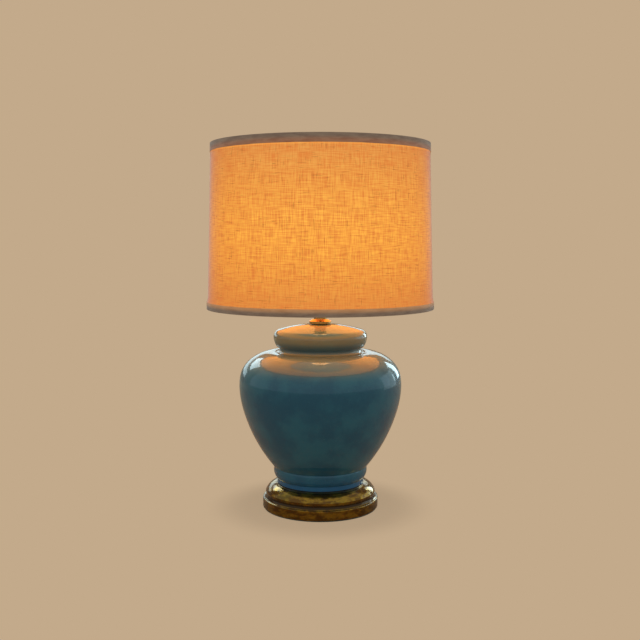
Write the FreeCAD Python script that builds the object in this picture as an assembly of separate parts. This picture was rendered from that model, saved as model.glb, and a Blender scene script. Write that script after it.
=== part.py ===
import FreeCAD, Part
import math
import os

# A ginger jar table lamp with a tapered drum shade, in millimetres.
# It stands on z = 0 with its axis on Z.  The front is -Y and the cord leaves at +Y.
# A "rise" is how far an arc bulges out of the straight line between its ends.

# ---------------------------------------------------------------- driving sizes

# fits
thread_fit = 0.02           # radial, between a thread and its nut, drawn plain
press_fit = 0.02            # radial, between a part and the hole it is pushed into
turn_fit = 0.06             # radial, around the switch shaft
seat_gap = 0.05             # between a round wire and the curved wall beside it
slip_gap = 0.3              # between pieces that slide or turn past each other
neck_bore_gap = 0.4         # radial, between the rod and the neck pieces
rod_gap = 1.5               # radial, between the rod and the holes in jar and lid

# spun brass base
felt_t = 1.6
felt_width = 15.0
felt_inset = 2.0
base_r = 105.5
base_band_h = 19.5
base_edge_r = 1.6
base_ledge = 3.2
base_cove_rise = 1.2
base_waist_in = 5.5         # from the band's face to the waist's
base_waist_z = 28.0
base_waist_h = 3.0
base_dome_rise = 3.3
base_top_r = 80.0
base_top_z = 46.0
base_wall = 1.2
base_lip_width = 14.0

# cord outlet in the back of the band
outlet_z = 10.8
outlet_r = 3.3
bushing_wall = 1.4
bushing_flange_w = 2.4
bushing_flange_t = 1.5
bushing_depth = 7.0
bushing_barb_w = 0.7
bushing_barb_l = 3.0

# threaded rod and the nut stack under the base
rod_r = 5.15
rod_bore_r = 3.2
rod_below_nut = 5.0
washer_r = 21.0
washer_t = 2.0
lock_washer_r = 8.6
lock_washer_t = 1.6
lock_washer_slit = 1.5
nut_across_flats = 14.3
nut_t = 4.5

# glazed jar: the body is a curve from the foot band up to the collar
gasket_t = 1.0
foot_r = 79.0
foot_land = 8.0
foot_h = 7.5
foot_band_rise = 3.0
body_curve = [(84.5, 76.0), (111.6, 114.1), (135.5, 165.2), (147.2, 219.0), (141.7, 254.8), (118.5, 278.0),
              (80.0, 285.1)]
jar_wall = 5.5
jar_recess = 6.0
jar_floor_t = 7.0
collar_r = 74.5
collar_wall = 6.5
collar_fillet_h = 5.9
collar_fillet_rise = 1.5
mouth_h = 32.9              # mouth above the shoulder
mouth_edge_r = 1.5

# glazed lid: a bun shape from the hem up to the flat crown
lid_gap = 1.2
lid_hem_w = 3.4
lid_skirt_h = 22.0          # hem below the jar's mouth
lid_belly_out = 5.8
lid_belly_h = 19.0
lid_belly_rise = 1.6
lid_brow_in = 10.0
lid_brow_h = 11.5
lid_brow_rise = 2.5
lid_crown_h = 9.9
lid_crown_rise = 1.8
lid_flat_r = 17.0
lid_ceiling_t = 6.5
lid_ceiling_drop = 5.5      # how far the ceiling falls from the hole to its edge
lid_ceiling_r = 58.0
lid_ledge_w = 8.0

# turned brass neck
crown_washer_t = 0.6
crown_washer_inset = 0.8
neck_seat_r = 13.0
neck_seat_h = 0.8
neck_barrel_l = 5.0
ring_r = 20.0
ring_h = 7.4
ring_bevel_w = 6.5
ring_bevel_h = 3.4
ring_edge_r = 0.6
spool_r = 11.5
spool_h = 27.0
spool_groove_h = 4.0
spool_groove_rise = 1.2
spool_groove_below_top = 7.0

# harp saddle, with an open post on each side
saddle_t = 1.5
saddle_disc_r = 13.0
saddle_arm_w = 9.0
saddle_arm_end = 1.0
post_y = 26.0
post_wall = 1.1
post_h = 12.0
post_slot = 2.2

# ferrules that lock the harp on its posts
ferrule_wall = 1.2
ferrule_h = 14.5
ferrule_cap_t = 1.4
ferrule_bevel = 0.8

# harp
harp_wire_r = 1.6
harp_height = 254.0         # saddle to the seat of the shade
harp_half_width = 57.5
harp_leg_h = 38.0
harp_hip_h = 78.0
harp_shoulder_h = 133.0
harp_top_y = 17.0
harp_leg_bend = 22.0
harp_hip_bend = 40.0
harp_shoulder_bend = 120.0
harp_top_bend = 14.0
stud_base_r = 7.0
stud_base_h = 7.6
stud_base_bevel = 1.2
stud_above_wire = 3.4
stud_r = 3.175
stud_h = 15.0
stud_point = 1.0

# socket
cap_hub_r = 8.0
cap_hub_h = 6.0
cap_r = 17.2
cap_h = 22.0
cap_wall = 0.8
cap_neck_h = 4.0
cap_shoulder_h = 12.0
cap_shoulder_rise = 1.6
set_screw_r = 1.6
set_screw_length = 6.0
set_screw_h = 2.1
driver_slot_w = 0.8
driver_slot_d = 0.8
shell_overlap = 5.0
shell_h = 47.0
shell_wall = 0.8
shell_bead_h = 3.0
shell_bead_rise = 1.2
shell_bead_above_cap = 9.0
shell_roll_h = 1.6
shell_roll_rise = 0.8
fibre_t = 0.7
fibre_below_top = 1.0
core_above_hub = 4.8
core_h = 17.0
core_floor_t = 4.0
core_bevel = 1.5
core_flat_y = 8.0
screw_shell_wall = 0.5
screw_shell_gap = 0.45
screw_shell_h = 23.0
screw_shell_hole_r = 7.5
contact_t = 0.5
contact_r = 4.5
leaf_w = 4.5
leaf_length = 7.2
terminal_r = 3.2
terminal_t = 1.8
terminal_h = 5.5

# switch, turned from the right-hand side
shaft_r = 1.8
shaft_h = 9.0               # above the core's underside
shaft_in_core = 9.6
shaft_in_knob = 10.2
knob_gap = 1.2
knob_foot_r = 4.8
knob_foot_h = 2.0
knob_waist_rise = 0.6
knob_r = 6.2
knob_belly_h = 9.4
knob_length = 17.0
knob_crown_rise = 1.9
knob_wing_t = 4.6
knob_wing_r = 7.5
knob_wing_h = 10.4
knob_wing_from = 5.4

# frosted bulb: the glass is a curve from its neck up to a ball, which it meets below the ball's middle
bulb_length = 110.0
bulb_wall = 0.8
bulb_r = 30.0
bulb_neck_in_cap = 6.0
bulb_flare = [(14.4, 13.8), (21.3, 29.3)]   # radius, height above the screw base
bulb_join_angle = 25.0
screw_r = 13.1
screw_h = 21.0
screw_wall = 0.35
screw_shoulder_h = 2.5
insulator_r = 9.4
insulator_h = 3.6
tip_r = 4.2
tip_h = 1.6
tip_flange = 1.0
tip_gap = 0.15              # between the tip and the centre contact's leaf
stem_r = 2.2
stem_h = 40.0
stem_flare_h = 13.0
stem_flare_rise = 2.4
lead_r = 0.35
filament_half = 9.0
filament_rise = 7.0
filament_bend = 1.5

# shade
shade_bottom_z = 365.4
shade_h = 293.0
linen_hem_r = 203.9         # pushed out by the wire ring
linen_flare_w = 1.7
linen_flare_h = 9.0
linen_flare_rise = 0.2
shade_taper = 7.0           # radius lost from the flare to the top
linen_t = 0.6
styrene_t = 0.8
trim_t = 0.8
trim_edge = 0.5
trim_top_h = 15.4
trim_bottom_h = 13.0
trim_turn_in = 6.0
ring_wire_r = 1.6
spider_wire_r = 1.5
spider_arms = 3
spider_shelf = 13.0
spider_slope = 16.0
spider_bend = 7.0
spider_weld = 0.2
spider_washer_r = 16.0
spider_washer_t = 1.5
spider_arm_start = 11.0
spider_hole_r = 3.6

# finial, heights above its own foot
finial_base_r = 7.2
finial_base_h = 1.4
finial_collar_r = 5.8
finial_collar_h = 4.0
finial_collar_rise = 0.5
finial_neck_r = 4.6
finial_neck_h = 9.6
finial_neck_rise = 1.3
finial_ball_r = 7.6
finial_ball_seat = 2.6
finial_button_r = 2.6
finial_button_h = 3.2
finial_bore_gap = 0.1
finial_bore_spare = 1.0

# ---------------------------------------------------------------- levels worked out from the sizes

origin = FreeCAD.Vector(0, 0, 0)
up = FreeCAD.Vector(0, 0, 1)
quarter = 1 - math.sqrt(0.5)    # a quarter circle's rise, as a share of its radius

base_waist_r = base_r - base_waist_in
base_plate_z = base_top_z - base_wall
nut_top_z = base_plate_z - washer_t - lock_washer_t
nut_bottom_z = nut_top_z - nut_t
rod_hole_r = rod_r + slip_gap
rod_way_r = rod_r + rod_gap
neck_bore_r = rod_r + neck_bore_gap
thread_r = rod_r + thread_fit

foot_z = base_top_z + gasket_t
floor_under_z = foot_z + jar_recess
floor_top_z = floor_under_z + jar_floor_t
shoulder_z = body_curve[-1][1]
mouth_z = shoulder_z + mouth_h
hem_z = mouth_z - lid_skirt_h
lid_skirt_r = collar_r + lid_gap
crown_z = hem_z + lid_belly_h + lid_brow_h + lid_crown_h

neck_z = crown_z + crown_washer_t
ring_z = neck_z + neck_seat_h
spool_z = ring_z + ring_h
saddle_z = spool_z + spool_h
saddle_top = saddle_z + saddle_t
hub_top = saddle_top + cap_hub_h

cap_top = saddle_top + cap_h
shell_r = cap_r - cap_wall - press_fit
shell_z = cap_top - shell_overlap
shell_top = shell_z + shell_h
fibre_r = shell_r - shell_wall - press_fit
core_r = fibre_r - fibre_t - press_fit
core_z = hub_top + core_above_hub
core_top = core_z + core_h
shaft_z = core_z + shaft_h
screw_shell_r = screw_r + screw_shell_gap + screw_shell_wall

tip_z = core_top + 2 * contact_t + tip_gap
insulator_z = tip_z + tip_h
screw_z = insulator_z + insulator_h
screw_top = screw_z + screw_h
bulb_top = tip_z + bulb_length
bulb_middle = bulb_top - bulb_r
glass_neck_r = screw_r - screw_wall - press_fit

post_bore_r = harp_wire_r + slip_gap
post_r = post_bore_r + post_wall
ferrule_bore_r = post_r + slip_gap
ferrule_r = ferrule_bore_r + ferrule_wall
seat_z = saddle_top + harp_height
finial_z = seat_z + spider_washer_t

shade_top_z = shade_bottom_z + shade_h
linen_low_r = linen_hem_r - linen_flare_w
linen_top_r = linen_low_r - shade_taper
skin_top = shade_top_z - trim_t
skin_bottom = shade_bottom_z + trim_t
skin_t = linen_t + styrene_t
hem_top = shade_bottom_z + trim_bottom_h
flare_top = hem_top + linen_flare_h
top_ring_r = linen_top_r - skin_t - ring_wire_r - seat_gap
top_ring_z = skin_top - ring_wire_r
hem_ring_r = linen_hem_r - skin_t - ring_wire_r - seat_gap
hem_ring_z = skin_bottom + ring_wire_r

# ---------------------------------------------------------------- shaping helpers


def point(radius, height, y=0.0):
    return FreeCAD.Vector(radius, y, height)


def bow(rise, radius, height):
    """An arc to a point, bulging to the right of the way walked, or left if the rise is negative."""
    return ("bow", rise, point(radius, height))


def curve(points):
    """A smooth curve on through the given points."""
    return ("curve", [point(*pair) for pair in points])


def section(start, *steps):
    """A closed face in the radius-height plane from corners, bows and curves."""
    edges = []
    first = point(*start)
    here = first
    for step in steps + (start,):
        if step[0] == "bow":
            end = step[2]
            along = (end - here).normalize()
            middle = (here + end) / 2 + point(along.z, -along.x) * step[1]
            edges.append(Part.Arc(here, middle, end).toShape())
        elif step[0] == "curve":
            end = step[1][-1]
            spline = Part.BSplineCurve()
            spline.interpolate([here] + step[1])
            edges.append(spline.toShape())
        else:
            end = point(*step)
            if end.distanceToPoint(here) > 1e-6:
                edges.append(Part.makeLine(here, end))
        here = end
    return Part.Face(Part.Wire(edges))


def turned(start, *steps):
    return section(start, *steps).revolve(origin, up, 360)


def washer(inner, outer, bottom, height):
    return turned((inner, bottom), (outer, bottom), (outer, bottom + height), (inner, bottom + height))


def disc(radius, bottom, height):
    return Part.makeCylinder(radius, height, point(0, bottom))


def rod(radius, start, end):
    """A round bar between two points."""
    along = end - start
    return Part.makeCylinder(radius, along.Length, start, along)


def block(x, y, z):
    """A box from its low and high limits on each axis."""
    return Part.makeBox(x[1] - x[0], y[1] - y[0], z[1] - z[0], FreeCAD.Vector(x[0], y[0], z[0]))


def inset(points, wall):
    """Points one wall inside an upward curve through the given points."""
    spline = Part.BSplineCurve()
    spline.interpolate([point(*pair) for pair in points])
    inside = []
    for radius, height in points:
        along = spline.tangent(spline.parameter(point(radius, height)))[0]
        inside.append((radius - wall * along.z, height + wall * along.x))
    return inside


def cap_rise(radius, height):
    """The rise of the arc from a shallow dome's edge to its top."""
    sphere = (radius ** 2 + height ** 2) / (2 * height)
    return sphere - math.sqrt(sphere ** 2 - (radius ** 2 + height ** 2) / 4)


def bent_wire(corners, bends, wire_r):
    """A round wire through the corners, with an arc of the given radius at each inner corner."""
    edges = []
    here = corners[0]
    for index, bend in enumerate(bends, start=1):
        corner = corners[index]
        back = (corners[index - 1] - corner).normalize()
        ahead = (corners[index + 1] - corner).normalize()
        half_angle = back.getAngle(ahead) / 2
        reach = bend / math.tan(half_angle)
        inward = (back + ahead).normalize()
        middle = corner + inward * (bend / math.sin(half_angle) - bend)
        edges.append(Part.makeLine(here, corner + back * reach))
        edges.append(Part.Arc(corner + back * reach, middle, corner + ahead * reach).toShape())
        here = corner + ahead * reach
    edges.append(Part.makeLine(here, corners[-1]))
    end_circle = Part.Wire([Part.makeCircle(wire_r, corners[0], corners[1] - corners[0])])
    return Part.Wire(edges).makePipeShell([end_circle], True, False)


def around(shape, angle):
    copy = shape.copy()
    copy.rotate(origin, up, angle)
    return copy


def mirrored(shape):
    """The same piece on the lamp's other side, across the X-Z plane."""
    return shape.mirror(origin, FreeCAD.Vector(0, 1, 0))


parts = {}

# ---------------------------------------------------------------- base


def base_shell():
    """A spun cup, open below, with its edge turned in over the felt."""
    edge = quarter * base_edge_r
    cup = section(
        (0, felt_t),
        (base_r - base_edge_r, felt_t),
        bow(edge, base_r, felt_t + base_edge_r),
        (base_r, base_band_h - base_edge_r),
        bow(edge, base_r - base_edge_r, base_band_h),
        (base_r - base_ledge, base_band_h),
        bow(-base_cove_rise, base_waist_r, base_waist_z),
        (base_waist_r, base_waist_z + base_waist_h),
        bow(base_dome_rise, base_top_r, base_top_z),
        (0, base_top_z),
    )
    hollow = Part.Face(cup.makeOffset2D(-base_wall, join=2).OuterWire)
    wall = cup.revolve(origin, up, 360).cut(hollow.revolve(origin, up, 360))
    mouth = disc(base_r - base_lip_width, 0, felt_t + base_wall)
    return wall.cut([disc(rod_hole_r, 0, base_top_z), mouth])


def outlet_axis(y):
    return point(0, outlet_z, y)


bushing_r = outlet_r + bushing_wall
outlet_hole = rod(bushing_r + press_fit, outlet_axis(base_r - bushing_depth), outlet_axis(base_r + bushing_depth))
parts["felt_ring"] = washer(base_r - felt_inset - felt_width, base_r - felt_inset, 0, felt_t)
parts["base_shell"] = base_shell().cut(outlet_hole)


def cord_bushing():
    """A snap bushing: flange outside, barrel through the wall, barbed ring inside."""
    inner_y = base_r - base_wall
    outer_y = base_r + bushing_flange_t
    barrel = rod(bushing_r, outlet_axis(base_r - bushing_depth), outlet_axis(outer_y))
    flange = rod(bushing_r + bushing_flange_w, outlet_axis(inner_y), outlet_axis(outer_y))
    flange = flange.cut(disc(base_r, 0, base_band_h))
    barb = Part.makeCone(bushing_r, bushing_r + bushing_barb_w, bushing_barb_l,
                         outlet_axis(inner_y - bushing_barb_l - base_wall), FreeCAD.Vector(0, 1, 0))
    bore = rod(outlet_r, outlet_axis(base_r - bushing_depth), outlet_axis(outer_y))
    return barrel.fuse([flange, barb]).cut(bore).removeSplitter()


parts["cord_bushing"] = cord_bushing()

# ---------------------------------------------------------------- rod and nut stack

parts["rod_washer"] = washer(rod_hole_r, washer_r, base_plate_z - washer_t, washer_t)
slit = block((0, lock_washer_r), (-lock_washer_slit / 2, lock_washer_slit / 2),
             (nut_top_z, nut_top_z + lock_washer_t))
parts["lock_washer"] = washer(rod_hole_r, lock_washer_r, nut_top_z, lock_washer_t).cut(slit)


def hex_nut():
    corner_r = nut_across_flats / math.sqrt(3)
    chamfer = (corner_r - nut_across_flats / 2) / 2
    corners = [around(Part.Vertex(corner_r, 0, nut_bottom_z), 60 * k).Point for k in range(6)]
    prism = Part.Face(Part.makePolygon(corners + corners[:1])).extrude(up * nut_t)
    rounded = turned(
        (0, nut_bottom_z),
        (corner_r - chamfer, nut_bottom_z),
        (corner_r, nut_bottom_z + chamfer),
        (corner_r, nut_top_z),
        (0, nut_top_z),
    )
    return prism.common(rounded).cut(disc(thread_r, nut_bottom_z, nut_t))


parts["rod_nut"] = hex_nut()
rod_foot_z = nut_bottom_z - rod_below_nut
parts["lamp_rod"] = washer(rod_bore_r, rod_r, rod_foot_z, hub_top - rod_foot_z)

# ---------------------------------------------------------------- jar and lid

parts["foot_gasket"] = washer(foot_r - foot_land, foot_r, base_top_z, gasket_t)
body_inside = inset(body_curve, jar_wall)
collar_in_r = collar_r - collar_wall
mouth_edge = quarter * mouth_edge_r
parts["jar"] = turned(
    (foot_r - foot_land, foot_z),
    (foot_r, foot_z),
    (foot_r, foot_z + foot_h),
    bow(foot_band_rise, *body_curve[0]),
    curve(body_curve[1:]),
    bow(-collar_fillet_rise, collar_r, shoulder_z + collar_fillet_h),
    (collar_r, mouth_z - mouth_edge_r),
    bow(mouth_edge, collar_r - mouth_edge_r, mouth_z),
    (collar_in_r + mouth_edge_r, mouth_z),
    bow(mouth_edge, collar_in_r, mouth_z - mouth_edge_r),
    (collar_in_r, shoulder_z - jar_wall / 2),
    body_inside[-1],
    curve(body_inside[-2::-1]),
    (body_inside[0][0], floor_top_z),
    (rod_way_r, floor_top_z),
    (rod_way_r, floor_under_z),
    (foot_r - foot_land, floor_under_z),
)

hem_r = lid_skirt_r + lid_hem_w
belly_r = hem_r + lid_belly_out
brow_r = belly_r - lid_brow_in
parts["lid"] = turned(
    (lid_skirt_r, hem_z),
    (hem_r, hem_z),
    bow(lid_belly_rise, belly_r, hem_z + lid_belly_h),
    bow(lid_brow_rise, brow_r, crown_z - lid_crown_h),
    bow(lid_crown_rise, lid_flat_r, crown_z),
    (rod_way_r, crown_z),
    (rod_way_r, crown_z - lid_ceiling_t),
    (lid_ceiling_r, crown_z - lid_ceiling_t - lid_ceiling_drop),
    (collar_r - lid_ledge_w, mouth_z),
    (lid_skirt_r, mouth_z),
)

# ---------------------------------------------------------------- brass neck
# The seat's barrel centres the lid's hole on the rod, and its flange carries the check ring.

neck_barrel_r = rod_way_r - slip_gap
parts["crown_washer"] = washer(rod_way_r, neck_seat_r - crown_washer_inset, crown_z, crown_washer_t)
parts["neck_seat"] = turned(
    (neck_bore_r, crown_z - neck_barrel_l),
    (neck_barrel_r, crown_z - neck_barrel_l),
    (neck_barrel_r, neck_z),
    (neck_seat_r, neck_z),
    (neck_seat_r, ring_z),
    (neck_bore_r, ring_z),
)
parts["check_ring"] = turned(
    (neck_bore_r, ring_z),
    (ring_r - ring_edge_r, ring_z),
    bow(quarter * ring_edge_r, ring_r, ring_z + ring_edge_r),
    (ring_r, spool_z - ring_bevel_h),
    (ring_r - ring_bevel_w, spool_z),
    (neck_bore_r, spool_z),
)
groove_top = saddle_z - spool_groove_below_top + spool_groove_h
parts["spool_neck"] = turned(
    (neck_bore_r, spool_z),
    (spool_r, spool_z),
    (spool_r, groove_top - spool_groove_h),
    bow(-spool_groove_rise, spool_r, groove_top),
    (spool_r, saddle_z),
    (neck_bore_r, saddle_z),
)

# ---------------------------------------------------------------- harp saddle and ferrules


def harp_saddle():
    """A strap under the socket with an open, C-shaped post at each end."""
    arm_end = post_y + post_r + saddle_arm_end
    strap = block((-saddle_arm_w / 2, saddle_arm_w / 2), (-arm_end, arm_end), (saddle_z, saddle_top))
    tube = washer(post_bore_r, post_r, saddle_top, post_h)
    slot = block((-post_slot / 2, post_slot / 2), (-post_r, 0), (saddle_top, saddle_top + post_h))
    post = tube.cut(slot)
    post.translate(FreeCAD.Vector(0, post_y, 0))
    plate = strap.fuse([disc(saddle_disc_r, saddle_z, saddle_t), post, mirrored(post)])
    return plate.cut(disc(neck_bore_r, saddle_z, saddle_t)).removeSplitter()


parts["harp_saddle"] = harp_saddle()


def ferrule():
    """The sleeve that locks a harp leg on its post."""
    top = saddle_top + ferrule_h
    sleeve = turned(
        (ferrule_bore_r, saddle_top),
        (ferrule_r, saddle_top),
        (ferrule_r, top - ferrule_bevel),
        (ferrule_r - ferrule_bevel, top),
        (post_bore_r, top),
        (post_bore_r, top - ferrule_cap_t),
        (ferrule_bore_r, top - ferrule_cap_t),
    )
    sleeve.translate(FreeCAD.Vector(0, post_y, 0))
    return sleeve


parts["ferrule_right"] = ferrule()
parts["ferrule_left"] = mirrored(ferrule())

# ---------------------------------------------------------------- harp


def harp_wire():
    """A wire loop: straight legs, wide hips, long shoulders and a short level top."""
    side = [
        FreeCAD.Vector(0, post_y, saddle_top),
        FreeCAD.Vector(0, post_y, saddle_top + harp_leg_h),
        FreeCAD.Vector(0, harp_half_width, saddle_top + harp_hip_h),
        FreeCAD.Vector(0, harp_half_width, saddle_top + harp_shoulder_h),
        FreeCAD.Vector(0, harp_top_y, seat_z - stud_above_wire),
    ]
    other_side = [FreeCAD.Vector(0, -corner.y, corner.z) for corner in reversed(side)]
    bends = [harp_leg_bend, harp_hip_bend, harp_shoulder_bend, harp_top_bend]
    return bent_wire(side + other_side, bends + bends[::-1], harp_wire_r)


parts["harp_wire"] = harp_wire()
stud_foot_z = seat_z - stud_base_h
stud_top_z = seat_z + stud_h
parts["harp_stud"] = turned(
    (0, stud_foot_z),
    (stud_base_r - stud_base_bevel, stud_foot_z),
    (stud_base_r, stud_foot_z + stud_base_bevel),
    (stud_base_r, seat_z - stud_base_bevel),
    (stud_base_r - stud_base_bevel, seat_z),
    (stud_r, seat_z),
    (stud_r, stud_top_z - stud_point),
    (stud_r - stud_point, stud_top_z),
    (0, stud_top_z),
).cut(parts["harp_wire"])

# ---------------------------------------------------------------- socket

cap_corner_z = saddle_top + cap_shoulder_h
socket_cap = turned(
    (thread_r, saddle_top),
    (cap_hub_r, saddle_top),
    (cap_hub_r, saddle_top + cap_neck_h),
    bow(cap_shoulder_rise, cap_r, cap_corner_z),
    (cap_r, cap_top),
    (cap_r - cap_wall, cap_top),
    (cap_r - cap_wall, cap_corner_z),
    bow(-cap_shoulder_rise + cap_wall / 4, cap_hub_r, hub_top),
    (thread_r, hub_top),
)
set_screw_z = saddle_top + set_screw_h
set_screw_in = point(0, set_screw_z, -thread_r)
set_screw_out = point(0, set_screw_z, -thread_r - set_screw_length)
set_screw_hole = rod(set_screw_r + thread_fit, point(0, set_screw_z), set_screw_out)
driver_slot = block((-set_screw_r, set_screw_r), (set_screw_out.y, set_screw_out.y + driver_slot_d),
                    (set_screw_z - driver_slot_w / 2, set_screw_z + driver_slot_w / 2))
parts["cap_set_screw"] = rod(set_screw_r, set_screw_in, set_screw_out).cut(
    [driver_slot, disc(rod_r, saddle_top, cap_hub_h)])

bead_z = cap_top + shell_bead_above_cap
socket_shell = turned(
    (shell_r - shell_wall, shell_z),
    (shell_r, shell_z),
    (shell_r, bead_z - shell_bead_h / 2),
    bow(shell_bead_rise, shell_r, bead_z + shell_bead_h / 2),
    (shell_r, shell_top - shell_roll_h),
    bow(shell_roll_rise, shell_r, shell_top),
    (shell_r - shell_wall, shell_top),
)
fibre = washer(fibre_r - fibre_t, fibre_r, core_z, shell_top - fibre_below_top - core_z)
shaft_in = FreeCAD.Vector(core_r - shaft_in_core, 0, shaft_z)
shaft_side = FreeCAD.Vector(cap_r, 0, shaft_z)
shaft_way = rod(shaft_r + slip_gap, shaft_in, shaft_side + FreeCAD.Vector(cap_wall, 0, 0))
parts["socket_cap"] = socket_cap.cut([set_screw_hole, shaft_way])
parts["socket_shell"] = socket_shell.cut(shaft_way)
parts["socket_liner"] = fibre.cut(shaft_way)


def socket_core():
    """The moulded block that carries the contacts, the screw shell and the switch."""
    body = turned(
        (0, core_z),
        (core_r - core_bevel, core_z),
        (core_r, core_z + core_bevel),
        (core_r, core_top),
        (0, core_top),
    )
    flat = block((-core_r, core_r), (core_flat_y, core_r), (core_z, core_top - core_floor_t))
    bearing = rod(shaft_r + turn_fit, shaft_in, shaft_side)
    return body.cut([flat, mirrored(flat), bearing])


parts["socket_core"] = socket_core()
parts["screw_shell"] = turned(
    (screw_shell_hole_r, core_top),
    (screw_shell_r, core_top),
    (screw_shell_r, core_top + screw_shell_h),
    (screw_shell_r - screw_shell_wall, core_top + screw_shell_h),
    (screw_shell_r - screw_shell_wall, core_top + screw_shell_wall),
    (screw_shell_hole_r, core_top + screw_shell_wall),
)
contact_leaf = block((-leaf_length / 2, leaf_length / 2), (-leaf_w / 2, leaf_w / 2),
                     (core_top + contact_t, core_top + 2 * contact_t))
parts["centre_contact"] = disc(contact_r, core_top, contact_t).fuse(contact_leaf)


def terminal_screws():
    """One wire screw on each flat of the core."""
    height = core_z + terminal_h
    head = rod(terminal_r, point(0, height, core_flat_y), point(0, height, core_flat_y + terminal_t))
    slot = block((-terminal_r, terminal_r),
                 (core_flat_y + terminal_t - driver_slot_d, core_flat_y + terminal_t),
                 (height - driver_slot_w / 2, height + driver_slot_w / 2))
    head = head.cut(slot)
    return Part.makeCompound([head, mirrored(head)])


parts["terminal_screws"] = terminal_screws()

# ---------------------------------------------------------------- switch

knob_x = cap_r + knob_gap
parts["switch_shaft"] = rod(shaft_r, shaft_in, FreeCAD.Vector(knob_x + shaft_in_knob, 0, shaft_z))


def switch_knob():
    """A turn key: a round boss with a flat thumb wing, drawn upright and then laid along +X."""
    boss = turned(
        (0, 0),
        (knob_foot_r, 0),
        (knob_foot_r, knob_foot_h),
        bow(-knob_waist_rise, knob_r, knob_belly_h),
        bow(knob_crown_rise, 0, knob_length),
    )
    wing = Part.makeCylinder(knob_wing_r, knob_wing_t, point(-knob_wing_t / 2, knob_wing_h), FreeCAD.Vector(1, 0, 0))
    flat = block((-knob_wing_t / 2, knob_wing_t / 2), (-knob_wing_r, knob_wing_r), (0, knob_length))
    boss = boss.common(flat.fuse(disc(knob_r, 0, knob_wing_from)))
    key = boss.fuse(wing.common(flat))
    key.rotate(origin, FreeCAD.Vector(0, 1, 0), 90)
    key.translate(FreeCAD.Vector(knob_x, 0, shaft_z))
    return key.cut(parts["switch_shaft"]).removeSplitter()


parts["switch_knob"] = switch_knob()

# ---------------------------------------------------------------- bulb

glass_foot_z = screw_top - bulb_neck_in_cap
join_angle = math.radians(bulb_join_angle)
glass_curve = [(glass_neck_r, screw_top)]
glass_curve += [(radius, screw_top + height) for radius, height in bulb_flare]
glass_curve += [(bulb_r * math.cos(join_angle), bulb_middle - bulb_r * math.sin(join_angle))]
glass_inside = inset(glass_curve, bulb_wall)
inside_top = bulb_top - bulb_wall


def ball_cap(edge, top):
    """The rise of the arc from a point on the ball's side to its top."""
    return cap_rise(edge[0], top - edge[1])


parts["bulb_glass"] = turned(
    (glass_neck_r - bulb_wall, glass_foot_z),
    (glass_neck_r, glass_foot_z),
    (glass_neck_r, screw_top),
    curve(glass_curve[1:]),
    bow(ball_cap(glass_curve[-1], bulb_top), 0, bulb_top),
    (0, inside_top),
    bow(-ball_cap(glass_inside[-1], inside_top), *glass_inside[-1]),
    curve(glass_inside[-2::-1]),
    (glass_neck_r - bulb_wall, screw_top),
)
parts["bulb_screw_base"] = turned(
    (insulator_r - screw_wall, screw_z),
    (insulator_r, screw_z),
    (screw_r, screw_z + screw_shoulder_h),
    (screw_r, screw_top),
    (screw_r - screw_wall, screw_top),
    (screw_r - screw_wall, screw_z + screw_shoulder_h),
)
parts["bulb_insulator"] = turned(
    (0, insulator_z),
    (tip_r + tip_flange, insulator_z),
    (insulator_r, screw_z),
    (0, screw_z),
)
parts["bulb_tip"] = turned(
    (0, tip_z),
    bow(cap_rise(tip_r, tip_h), tip_r, insulator_z),
    (0, insulator_z),
)
stem_foot_r = glass_neck_r - bulb_wall
stem_top = glass_foot_z + stem_h
parts["bulb_stem"] = turned(
    (0, glass_foot_z),
    (stem_foot_r, glass_foot_z),
    (stem_foot_r, glass_foot_z + bulb_wall),
    bow(-stem_flare_rise, stem_r, glass_foot_z + stem_flare_h),
    (stem_r, stem_top),
    (0, stem_top),
)
lead = [point(stem_r / 2, stem_top), point(filament_half, stem_top + filament_rise)]
lead_corners = lead + [point(-corner.x, corner.z) for corner in reversed(lead)]
parts["bulb_filament"] = bent_wire(lead_corners, [filament_bend] * 2, lead_r).cut(parts["bulb_stem"])

# ---------------------------------------------------------------- shade


def linen_radius(height):
    """The linen's outer radius on its straight taper."""
    share = (height - flare_top) / (skin_top - flare_top)
    return linen_low_r + (linen_top_r - linen_low_r) * share


def shade_skin(face, back):
    """A layer of the shade's wall, between two depths below the linen's face."""
    return turned(
        (linen_hem_r - face, skin_bottom),
        (linen_hem_r - face, hem_top),
        bow(-linen_flare_rise, linen_low_r - face, flare_top),
        (linen_top_r - face, skin_top),
        (linen_top_r - back, skin_top),
        (linen_low_r - back, flare_top),
        bow(linen_flare_rise, linen_hem_r - back, hem_top),
        (linen_hem_r - back, skin_bottom),
    )


def rim_tape(rim_z, inward, height, rim_r, leg_r, ring_r_in):
    """A tape folded over a rim: a leg down the linen, the fold and a short leg behind the ring."""
    leg_z = rim_z + inward * height
    fold_z = rim_z + inward * trim_t
    edge_z = rim_z + inward * trim_edge
    turn_z = rim_z + inward * trim_turn_in
    return turned(
        (leg_r, leg_z),
        (leg_r + trim_t, leg_z),
        (rim_r + trim_t, edge_z),
        (rim_r + trim_t - trim_edge, rim_z),
        (ring_r_in - trim_t + trim_edge, rim_z),
        (ring_r_in - trim_t, edge_z),
        (ring_r_in - trim_t, turn_z),
        (ring_r_in, turn_z),
        (ring_r_in, fold_z),
        (rim_r, fold_z),
    )


def spider_arm():
    """One recessed arm along +X: level from the ring, down a slope, level to the washer."""
    shelf_z = top_ring_z - ring_wire_r
    arm_z = finial_z + spider_wire_r - spider_weld
    corners = [
        point(top_ring_r, shelf_z),
        point(top_ring_r - spider_shelf, shelf_z),
        point(top_ring_r - spider_shelf - spider_slope, arm_z),
        point(spider_arm_start, arm_z),
    ]
    return bent_wire(corners, [spider_bend] * 2, spider_wire_r)


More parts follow.
